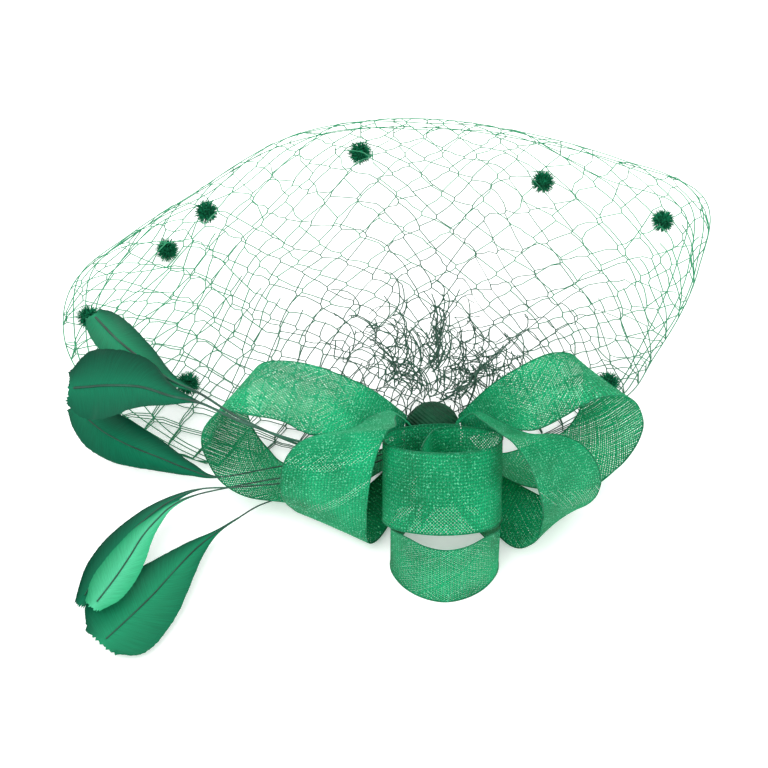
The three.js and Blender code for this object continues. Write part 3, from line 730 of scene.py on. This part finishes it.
def layers_of(curve, lengths):
    """Reach and height at even shares of the way to the rim, for both layers and the pleat."""
    turn = int(np.argmax(curve[:, 0]))
    shares = np.linspace(0, 1, LAYER_POINTS)
    up, down = lengths[:turn + 1], lengths[-1] - lengths[turn:][::-1]
    layers = []
    for way, side in ((up, curve[:turn + 1]), (down, curve[turn:][::-1])):
        reach = np.interp(shares * way[-1], way, side[:, 0]) - GATHER_HALF
        layers.append((reach, np.interp(shares * way[-1], way, side[:, 1])))
    upper, lower = layers
    pleat = (upper[0] * 0.55 + lower[0] * 0.45, upper[1] * 0.55 + lower[1] * 0.45)
    return up[-1], np.array([upper, lower, pleat])


LAYERS = [layers_of(curve, lengths) for _, curve, lengths in PROFILES]


def layer_place(index, layer, share):
    """X, y and height on one layer of a profile, at a share of the way to the rim."""
    reach, height = (np.interp(share * (LAYER_POINTS - 1), np.arange(LAYER_POINTS), row)
                     for row in LAYERS[index][1][layer])
    x = GATHER_HALF * (1 - 2 * SHARES[index]) + reach * math.cos(AZIMUTHS[index])
    return x, GATHER_Y + reach * math.sin(AZIMUTHS[index]), height


def flute_height(azimuth, share):
    """How far the upper layer rises into a flute or sinks between two, in millimetres."""
    window = math.sin(math.pi * min(max((share - 0.08) / 0.84, 0), 1))
    return window * sum(
        rise * math.exp(-(((azimuth - middle) / wide) ** 2)) for middle, wide, rise in FLUTES)


def lattice_plan(wide, deep):
    """Where a place of the flat lattice comes to lie, seen from above, in millimetres."""
    turned = complex(wide, deep) * complex(0, -1)
    far = MESH_AT * (abs(turned) / MESH_AT) ** (1 / BEND_POWER)
    angle = math.atan2(turned.imag, turned.real) / BEND_POWER
    drift = 2.4 * math.sin(0.045 * wide + 0.031 * deep)
    drift += 1.6 * math.sin(0.083 * deep - 0.021 * wide)
    angle += 0.035 * math.sin(0.06 * far + 3 * angle)
    return np.array([-(far + drift) * math.sin(angle), (far + drift) * math.cos(angle)])


def on_veil(place):
    """A place's profile, its share of the way to the rim, and if it lies between both sides."""
    x, y = place
    angles = np.arctan2(y, x - GATHER_HALF * (1 - 2 * SHARES))
    angles = np.where(angles < -1.2, angles + 2 * math.pi, angles)
    index = int(np.argmin(np.abs(angles - AZIMUTHS)))
    away = math.hypot(x - GATHER_HALF * (1 - 2 * SHARES[index]), y)
    inside = 0 < index < PROFILE_COUNT - 1 or abs(angles[index] - AZIMUTHS[index]) < 0.01
    return index, away / LAYERS[index][0], inside


def lay_thread(places, layer, lift):
    """The part of a thread that lies on the veil, as lines of points on one of its layers."""
    lines, line = [], []
    found = [on_veil(place) for place in places]
    for k, (index, share, inside) in enumerate(found):
        beside = [found[n] for n in (k - 1, k + 1) if 0 <= n < len(found)]
        if inside and share > 1 and any(near and away <= 1 for _, away, near in beside):
            share = 1.0
        if inside and share <= 1:
            x, y, height = layer_place(index, layer, share)
            height += flute_height(math.degrees(AZIMUTHS[index]), share) * (layer == UPPER)
            line.append(np.array([x, y, max(height + lift * (1 - share), NET_FLOOR)]))
        elif line:
            lines.append(line)
            line = []
    lines.append(line)
    return [line for line in lines if len(line) > 1]


print("way to the rim:", round(min(way for way, _ in LAYERS)), "to",
      round(max(way for way, _ in LAYERS)), "mm")

# %% Threads of the lattice
def knots_of_net():
    """Both ends of every twist of the lattice: {(column, row): (end, end)} in its flat plane."""
    chance = random.Random(11)
    knots = {}
    for row in range(NET_ROWS):
        for column in range(-NET_COLUMNS, NET_COLUMNS + 1):
            if (row + column) % 2:
                continue
            x = column * MESH_WIDE / 2 + chance.gauss(0, 0.35)
            y = row * MESH_DEEP / 2 + chance.gauss(0, 0.30)
            half = TWIST_SHARE * MESH_DEEP / 2
            knots[column, row] = (np.array([x, y - half]), np.array([x, y + half]))
    return knots


def curved(start, end, bow):
    """Places along a thread from start to end that bows sideways a little."""
    count = max(2, int(round(np.linalg.norm(end - start) / THREAD_STEP)) + 1)
    side = np.array([start[1] - end[1], end[0] - start[0]])
    return [lattice_plan(*(start + (end - start) * t + side * bow * math.sin(math.pi * t)))
            for t in np.linspace(0, 1, count)]


def net_lines():
    """Every twist and both threads that rise from it, on the layers that carry them."""
    chance = random.Random(12)
    knots = knots_of_net()
    lines, thicks = [], []
    for (column, row), (low, high) in knots.items():
        runs = [(curved(low, high, 0), 1.5)]
        for side in (-1, 1):
            above = knots.get((column + side, row + 1))
            if above:
                runs.append((curved(high, above[0], 0.02 * side + chance.gauss(0, 0.015)), 1.0))
        for places, thick in runs:
            pleated = abs(math.atan2(column * MESH_WIDE, row * MESH_DEEP + 1)) > PLEATS_FROM
            for layer in (UPPER, LOWER, PLEAT) if pleated else (UPPER, LOWER):
                for line in lay_thread(places, layer, NET_LIFT):
                    away = [np.linalg.norm(point[:2]) for point in line]
                    lines.append(line)
                    thicks.append([thick * (0.9 + 0.003 * distance) for distance in away])
    return lines, thicks


lattice, lattice_thick = net_lines()
print("threads of the lattice:", len(lattice))

# %% Threads of the rim and of the gather
RIM_SHARES = (0.88, 0.93, 0.97, 1.0)
RIM_THICK = 0.75
CRUMPLE_STRANDS = 84
CRUMPLE_STEP = 1.3
CRUMPLE_THICK = 0.58


def rim_lines():
    """Threads that the fold of the rim gathers, which run along it side by side."""
    chance = random.Random(14)
    lines, thicks = [], []
    for share in RIM_SHARES:
        wave = chance.uniform(0, WHOLE_TURN)
        line = []
        for index in range(3, PROFILE_COUNT - 3):
            way = min(share + 0.012 * math.sin(index / 5.5 + wave) * (share < 0.99), 1.0)
            x, y, height = layer_place(index, UPPER, way)
            line.append(np.array([x, y, max(height, NET_FLOOR)]))
        lines.append(line)
        thicks.append([RIM_THICK] * len(line))
    return lines, thicks


def crumple_lines():
    """Loops of net bunched over the gather: strands that curl as they run out from the knot."""
    chance = random.Random(13)
    lines, thicks = [], []
    for _ in range(CRUMPLE_STRANDS):
        azimuth = math.radians(chance.uniform(20, 160))
        start, reach = chance.uniform(4, 20), chance.triangular(24, 66, 32)
        curl, wave = chance.uniform(1.5, 4.2), chance.uniform(10, 20)
        phase = chance.uniform(0, WHOLE_TURN)
        places = []
        for step in np.arange(start, reach, CRUMPLE_STEP):
            turn = 2 * math.pi * step / wave + phase
            bend = azimuth + 0.16 * math.sin(step / 19 + phase)
            places.append(np.array([
                math.cos(bend) * step + curl * math.cos(turn),
                math.sin(bend) * step + curl * math.sin(turn),
            ]))
        lift = chance.uniform(0.3, 3.0)
        for line in lay_thread(places, UPPER, lift):
            lines.append(line)
            thicks.append([CRUMPLE_THICK] * len(line))
    return lines, thicks


crumple, crumple_thick = crumple_lines()
rim, rim_thick = rim_lines()
print("loose strands:", len(crumple), "and threads along the rim:", len(rim))

# %% Grow the net
NET_HALF_WIDTH = 0.26
net = thread_lines(
    "veil_net", lattice + crumple + rim, thicks=lattice_thick + crumple_thick + rim_thick)
grow(net, ROUND, half_width=NET_HALF_WIDTH * MM, material=NET)
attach(net, "root")
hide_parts("veil")

# %% [markdown]
# ## Chenille dots
#
# A chenille dot is a tuft of short fibres glued round the net. Fibres are scattered over a small
# core and stand out from it. Each fibre is a thin cone of six faces, and the seed is fixed, so
# every run gives the same dots. Chenille is matt, so its finish hardly shines.

# %% The tree that grows fibres, and the eight dots
def tuft_tree():
    """Stand a cone on each of many spots of a core, leaning and long by chance."""
    tree, start, end = new_tree("tuft", {
        "Density": ("NodeSocketFloat", 6.0e6),
        "Length": ("NodeSocketFloat", 0.002),
        "Seed": ("NodeSocketInt", 3),
        "Material": ("NodeSocketMaterial", None),
    })
    spots = add_node(tree, "GeometryNodeDistributePointsOnFaces", {"distribute_method": "RANDOM"},
                     Mesh=start.outputs["Geometry"], Density=start.outputs["Density"],
                     Seed=start.outputs["Seed"])
    fibre = add_node(tree, "GeometryNodeMeshCone", Vertices=4, Radius_Top=0.00004,
                     Radius_Bottom=0.00016, Depth=start.outputs["Length"])
    by_chance = "FunctionNodeRandomValue", {"data_type": "FLOAT_VECTOR"}
    length = add_node(tree, *by_chance, i0=(1.0, 1.0, 0.5), i1=(1.4, 1.4, 1.0),
                      Seed=start.outputs["Seed"])
    lean = add_node(tree, *by_chance, i0=(-0.4, -0.4, 0.0), i1=(0.4, 0.4, 6.28), Seed=7)
    turned = add_node(tree, "FunctionNodeRotateEuler", {"space": "LOCAL"},
                      i0=spots.outputs["Rotation"], i1=lean.outputs[0])
    placed = add_node(tree, "GeometryNodeInstanceOnPoints", Points=spots.outputs[0],
                      Instance=fibre.outputs[0], Rotation=turned.outputs[0],
                      Scale=length.outputs[0])
    both = tree.nodes.new("GeometryNodeJoinGeometry")
    tree.links.new(placed.outputs[0], both.inputs[0])
    tree.links.new(start.outputs["Geometry"], both.inputs[0])
    finish_tree(tree, start, end, both.outputs[0])
    return tree


TUFT = tuft_tree()
CHENILLE = plain_material("chenille", linear(0, 84, 54), linear(6, 128, 86), 400.0, 0.8, 0.2)
CORE_SHARE = 0.62
for number in range(1, 9):
    low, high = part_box(f"chenille_dot_{number}")
    middle = (low + high) / 2
    bpy.ops.mesh.primitive_ico_sphere_add(subdivisions=2, radius=DOT_RADIUS * CORE_SHARE * MM)
    dot = bpy.context.active_object
    dot.name = f"tufted_dot_{number}"
    dot.data.transform(Matrix.Translation(middle))
    grow(dot, TUFT, length=DOT_RADIUS * (1 - CORE_SHARE) * 2 * MM, seed=number, material=CHENILLE)
    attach(dot, "root")
    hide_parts(f"chenille_dot_{number}")

# %% [markdown]
# ## Feathers
#
# These are stripped goose feathers: a bare quill, then a leaf-shaped vane whose barbs have been
# trimmed to an outline. The vane is a thin cupped sheet that follows its spine table, its end is
# notched as cut barbs are, and the shader draws the barbs. The quill is a tapering thread.

# %% Spine tables
# Each feather: its foot's azimuth in degrees and height in mm, tilt in degrees, curl, shade.
# Each row, in ribbon widths: x, y, z and half the vane's width.
SPINES = {
    "feather_upper_front": ((210, 28), -28, 0.15, "dark", [
        (-0.62, -0.43, 1.06, 0), (-1.25, -0.71, 1.27, 0), (-1.96, -0.66, 1.54, 0),
        (-2.46, -0.34, 1.50, 0.01), (-2.82, -0.14, 1.39, 0.13), (-3.16, 0.11, 1.24, 0.33),
        (-3.53, 0.28, 1.06, 0.40), (-3.78, 0.35, 0.95, 0.34), (-3.97, 0.40, 0.87, 0.18),
    ]),
    "feather_upper_back": ((190, 28), -18, 0.15, "mid", [
        (-0.60, -0.39, 0.95, 0), (-1.25, -0.69, 1.17, 0), (-1.99, -0.58, 1.50, 0),
        (-2.48, -0.20, 1.49, 0.01), (-2.82, 0.10, 1.36, 0.07), (-3.14, 0.52, 1.18, 0.17),
        (-3.46, 0.96, 1.02, 0.22), (-3.67, 1.31, 0.89, 0.18), (-3.78, 1.50, 0.83, 0.10),
    ]),
    "feather_middle": ((200, 21.3), -22, 0.15, "dark", [
        (-1.05, -0.44, 0.63, 0), (-1.62, -0.52, 0.66, 0), (-2.29, -0.67, 0.66, 0.01),
        (-2.63, -0.47, 0.53, 0.08), (-2.98, -0.23, 0.44, 0.18), (-3.33, -0.01, 0.38, 0.25),
        (-3.62, 0.21, 0.34, 0.25), (-3.83, 0.43, 0.32, 0.19), (-3.98, 0.62, 0.30, 0.09),
    ]),
    "feather_lower_outer": ((214, 20.4), -14, 0.15, "dark", [
        (-1.05, -0.59, 0.55, 0), (-1.66, -0.70, 0.58, 0), (-2.12, -0.74, 0.57, 0),
        (-2.50, -0.74, 0.54, 0.01), (-2.76, -0.80, 0.47, 0.04), (-3.01, -0.94, 0.39, 0.09),
        (-3.24, -1.15, 0.32, 0.13), (-3.44, -1.40, 0.27, 0.15), (-3.60, -1.67, 0.22, 0.14),
        (-3.75, -2.00, 0.18, 0.06),
    ]),
    "feather_lower_inner": ((214, 23.8), -14, 0.15, "light", [
        (-1.05, -0.59, 0.66, 0), (-1.65, -0.71, 0.69, 0), (-2.12, -0.82, 0.69, 0),
        (-2.55, -0.91, 0.65, 0.01), (-2.80, -1.01, 0.59, 0.03), (-2.96, -1.15, 0.53, 0.07),
        (-3.11, -1.33, 0.47, 0.13), (-3.23, -1.55, 0.42, 0.18), (-3.36, -1.78, 0.38, 0.20),
        (-3.48, -1.97, 0.35, 0.18), (-3.59, -2.14, 0.33, 0.09),
    ]),
    "feather_lower_right": ((192, 7.4), -8, 0.12, "mid", [
        (-0.58, -0.16, 0.165, 0), (-0.95, -0.32, 0.16, 0), (-1.40, -0.48, 0.165, 0),
        (-1.85, -0.66, 0.17, 0), (-2.10, -0.85, 0.18, 0.01), (-2.34, -1.06, 0.19, 0.03),
        (-2.56, -1.30, 0.20, 0.13), (-2.78, -1.60, 0.20, 0.26), (-2.99, -1.89, 0.18, 0.37),
        (-3.20, -2.14, 0.16, 0.43), (-3.38, -2.34, 0.14, 0.40), (-3.49, -2.46, 0.13, 0.22),
    ]),
}
print("feathers:", len(SPINES))

# %% Finishes of vane and quill
def feather_material(name, deep, middle, pale):
    """Dyed barbs: colour and fine stripes follow the vane's own coordinates."""
    material, tree, surface, out = new_material(name)
    vane = add_node(tree, "ShaderNodeUVMap", {"uv_map": "vane"}).outputs[0]
    place = add_node(tree, "ShaderNodeSeparateXYZ", i0=vane)
    ramp = tree.nodes.new("ShaderNodeValToRGB")
    tree.links.new(place.outputs[0], ramp.inputs[0])
    ramp.color_ramp.elements[0].color = deep
    ramp.color_ramp.elements[1].color = middle
    ramp.color_ramp.elements.new(0.5).color = pale
    stretched = add_node(tree, "ShaderNodeMapping", i0=vane, Scale=(3.0, 160.0, 1.0))
    barbs = add_node(tree, "ShaderNodeTexNoise", Vector=stretched.outputs[0], Scale=1.0, Detail=5.0)
    shade = spread(tree, barbs.outputs[0], 0.3, 0.7, 0.82, 1.14)
    colour = mixed_colour(tree, 1.0, ramp.outputs[0], shade, "MULTIPLY")
    set_surface(tree, surface, colour, roughness=0.42, specular=0.15)
    bump = add_node(tree, "ShaderNodeBump", Height=barbs.outputs[0], Strength=0.35, Distance=0.0002)
    tree.links.new(bump.outputs[0], surface.inputs["Normal"])
    see_through(tree, surface, out, colour, 0.18)
    return material


RACHIS = plain_material("quill", linear(2, 50, 36), linear(14, 82, 60), 90.0, 0.5)
# The three copies of the one dye are as dark as each feather looks: partly the dye's own tone,
# partly painted shade, as on the middle feather, which lies in shade.
FEATHERS = {
    shade: feather_material(f"feather_{shade}", *(linear(*colour) for colour in colours))
    for shade, colours in {
        "dark": ((0, 60, 42), (0, 80, 56), (6, 108, 76)),
        "mid": ((0, 70, 48), (4, 98, 66), (24, 130, 90)),
        "light": ((26, 132, 88), (44, 162, 112), (78, 190, 142)),
    }.items()
}
print("feather finishes:", *FEATHERS)

# %% Vane, barbs and quill
VANE_STEPS = 110
VANE_SIDES = 10
VANE_STARTS = 0.3
BARB_SWEEP = 0.34
NOTCHED_FROM = 0.93
QUILL_STEPS = 106
QUILL_SHARE = {"upper": 0.58, "middle": 0.36, "lower": 0.36}


def turn_about(vector, axis, angle):
    """A vector turned about an axis of length one."""
    return (vector * math.cos(angle) + np.cross(axis, vector) * math.sin(angle)
            + axis * np.dot(axis, vector) * (1 - math.cos(angle)))


def spine_frames(foot, tilt, rows, count):
    """Along a feather: its spine, half widths, and the ways forward, across and up."""
    angle, level = math.radians(foot[0]), foot[1]
    reach = beside_knot(level) + CLEARANCE / 2
    base = np.array([math.cos(angle) * reach, math.sin(angle) * reach, level, 0])
    table = [base, *(np.array(row) * RIBBON_WIDTH for row in rows)]
    places = np.array([smooth_row(table, t) for t in np.linspace(0, 1, count)])
    forward = np.gradient(places[:, :3], axis=0)
    forward /= np.linalg.norm(forward, axis=1)[:, None]
    across = np.cross([0, 0, 1], forward)
    across /= np.linalg.norm(across, axis=1)[:, None]
    across = np.array([turn_about(a, f, math.radians(tilt)) for a, f in zip(across, forward)])
    return places[:, :3], places[:, 3], forward, across, np.cross(forward, across)


def vane_mesh(node, frames, first, curl, chance):
    """The vane as rows of points from its first step on, cupped, rippled and notched at the end."""
    spine, half, forward, across, up = frames
    points, faces, uvs = [], [], []
    ring = 2 * VANE_SIDES + 1
    for k in range(first, VANE_STEPS):
        progress = (k - first) / (VANE_STEPS - 1 - first)
        for s in range(-VANE_SIDES, VANE_SIDES + 1):
            side = s / VANE_SIDES
            sweep = BARB_SWEEP * abs(side) ** 1.3 * half[k] * (1 - progress)
            end = max(0.0, (progress - NOTCHED_FROM) / (1 - NOTCHED_FROM))
            ragged = end * chance.uniform(-0.2, 1.6)
            width = half[k] * (1 + 0.015 * chance.uniform(-1, 1) * (abs(s) == VANE_SIDES))
            ripple = 0.05 * half[k] * math.sin(9 * progress + 5 * side) * abs(side)
            points.append(spine[k] + across[k] * side * width + forward[k] * (sweep + ragged)
                          + up[k] * (half[k] * curl * side * side + ripple))
            uvs.append((0.5 + side / 2, progress + 0.12 * abs(side)))
    for k in range(VANE_STEPS - 1 - first):
        for s in range(ring - 1):
            a = k * ring + s
            faces.append((a, a + ring, a + ring + 1, a + 1))
    vane = mesh_piece(f"vane_{node}", points, faces=faces)
    layer = vane.data.uv_layers.new(name="vane")
    for loop in vane.data.loops:
        layer.data[loop.index].uv = uvs[loop.vertex_index]
    vane.data.shade_smooth()
    return vane


def quill_taper(first):
    """The quill's thickness at each step: bare up to the vane, then thin within it."""
    bare = [1.0 - 0.45 * k / first for k in range(first)]
    return bare + [0.34 * (1 - k / VANE_STEPS) + 0.08 for k in range(first, VANE_STEPS)]


def feather(node, foot, tilt, curl, shade, rows):
    """One feather, with its vane and its quill joined as one piece."""
    chance = random.Random(len(node) + int(foot[0]))
    frames = spine_frames(foot, tilt, rows, VANE_STEPS)
    spine, half, up = frames[0], frames[1], frames[4]
    first = int(np.argmax(half > VANE_STARTS))
    vane = vane_mesh(node, frames, first, curl, chance)
    vane.data.materials.append(FEATHERS[shade])
    quill = thread_lines(f"quill_{node}", [list(spine + up * 0.15)[:QUILL_STEPS]],
                         thicks=[quill_taper(first)[:QUILL_STEPS]])
    radius = QUILL_RADIUS * QUILL_SHARE[node.split("_")[1]]
    grow(quill, QUILL, half_width=radius * MM, material=RACHIS)
    join(vane, [quill])
    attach(vane, "root")
    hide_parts(node)


for node, spine_facts in SPINES.items():
    feather(node, *spine_facts)

# %% [markdown]
# ## Knot and clip
#
# The knot and the clip are rigid and their solids have the right shape, so they only need a
# finish. The knot is ribbon wound tight and painted dark with shade, the clip is pressed steel.

# %% Finish the knot and the clip
def paint(node, material):
    """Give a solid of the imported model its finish."""
    solid = nodes[node]
    solid.data.materials.clear()
    solid.data.materials.append(material)
    print(node, "is painted", material.name)


def shaded_knot_material():
    """Ribbon wound tight: matt, ridged by its rows, and dark with painted shade."""
    material, tree, surface, _ = new_material("wound_crin")
    # Painted shade: the wound ribbon is the bow's crin, coloured this dark for the shade round the
    # knot.
    colour = colour_noise(tree, linear(2, 46, 28), linear(6, 70, 44), 150.0)
    set_surface(tree, surface, colour, roughness=0.7, specular=0.2)
    rows = add_node(tree, "ShaderNodeTexWave", {"bands_direction": "DIAGONAL"},
                    Vector=object_place(tree), Scale=260.0, Distortion=2.0)
    bump = add_node(tree, "ShaderNodeBump", Height=rows.outputs[1], Strength=0.8, Distance=0.0006)
    tree.links.new(bump.outputs[0], surface.inputs["Normal"])
    return material


STEEL = plain_material(
    "pressed_steel", (0.42, 0.43, 0.44, 1), (0.6, 0.6, 0.62, 1), 300.0, 0.32, metallic=1.0)
paint("centre_knot", shaded_knot_material())
paint("hair_clip", STEEL)

# %% [markdown]
# ## Table, light and camera
#
# The photograph is bright and almost without shadow, so the table is white and glows a little, and
# three large soft lights hang round it. The camera looks down at fifty degrees from the front.

# %% Stage
bpy.ops.mesh.primitive_plane_add(size=6.0, location=(0, 0, 0))
table = bpy.context.active_object
table.name = "table_top"
table_material, _, table_surface, _ = new_material("white_table")
table_surface.inputs["Base Color"].default_value = (0.9, 0.9, 0.9, 1)
table_surface.inputs["Roughness"].default_value = 0.7
table_surface.inputs["Emission Color"].default_value = (1, 1, 1, 1)
table_surface.inputs["Emission Strength"].default_value = 0.3
table.data.materials.append(table_material)


def soft_light(name, place, size, power):
    """A square light of a size in metres and a power in watts, aimed at the bow."""
    light = bpy.data.lights.new(name, "AREA")
    light.size = size
    light.energy = power
    lamp = bpy.data.objects.new(name, light)
    bpy.context.scene.collection.objects.link(lamp)
    lamp.location = place
    aim = Vector((0, 0.03, 0.02)) - lamp.location
    lamp.rotation_euler = aim.to_track_quat("-Z", "Y").to_euler()
    print(name, "shines with", power, "W")


soft_light("key_light", (-0.5, -0.5, 1.1), 0.8, 10)
soft_light("fill_light", (0.9, -0.2, 0.8), 1.0, 4)
soft_light("back_light", (0.1, 1.0, 0.7), 1.0, 4)
world = bpy.data.worlds.new("studio")
bpy.context.scene.world = world
world.use_nodes = True
world.node_tree.nodes["Background"].inputs[0].default_value = (1, 1, 1, 1)
world.node_tree.nodes["Background"].inputs[1].default_value = 1.0
bpy.context.scene.view_settings.view_transform = "Standard"

# %% Camera
CAMERA_PLACE = Vector((-20.16, -747.1, 944.3)) * MM
CAMERA_AIM = Vector((-20.16, 24.26, 25.0)) * MM
FOCAL_PIXELS = 2857
PICTURE_PIXELS = 768
SENSOR_WIDTH = 36
camera_data = bpy.data.cameras.new("camera")
camera_data.sensor_width = SENSOR_WIDTH
camera_data.lens = SENSOR_WIDTH * FOCAL_PIXELS / PICTURE_PIXELS
camera = bpy.data.objects.new("camera", camera_data)
bpy.context.scene.collection.objects.link(camera)
camera.location = CAMERA_PLACE
camera.rotation_euler = (CAMERA_AIM - CAMERA_PLACE).to_track_quat("-Z", "Y").to_euler()
bpy.context.scene.camera = camera
print("lens:", round(camera_data.lens, 1), "mm")

# %% Finish
bpy.context.view_layer.update()
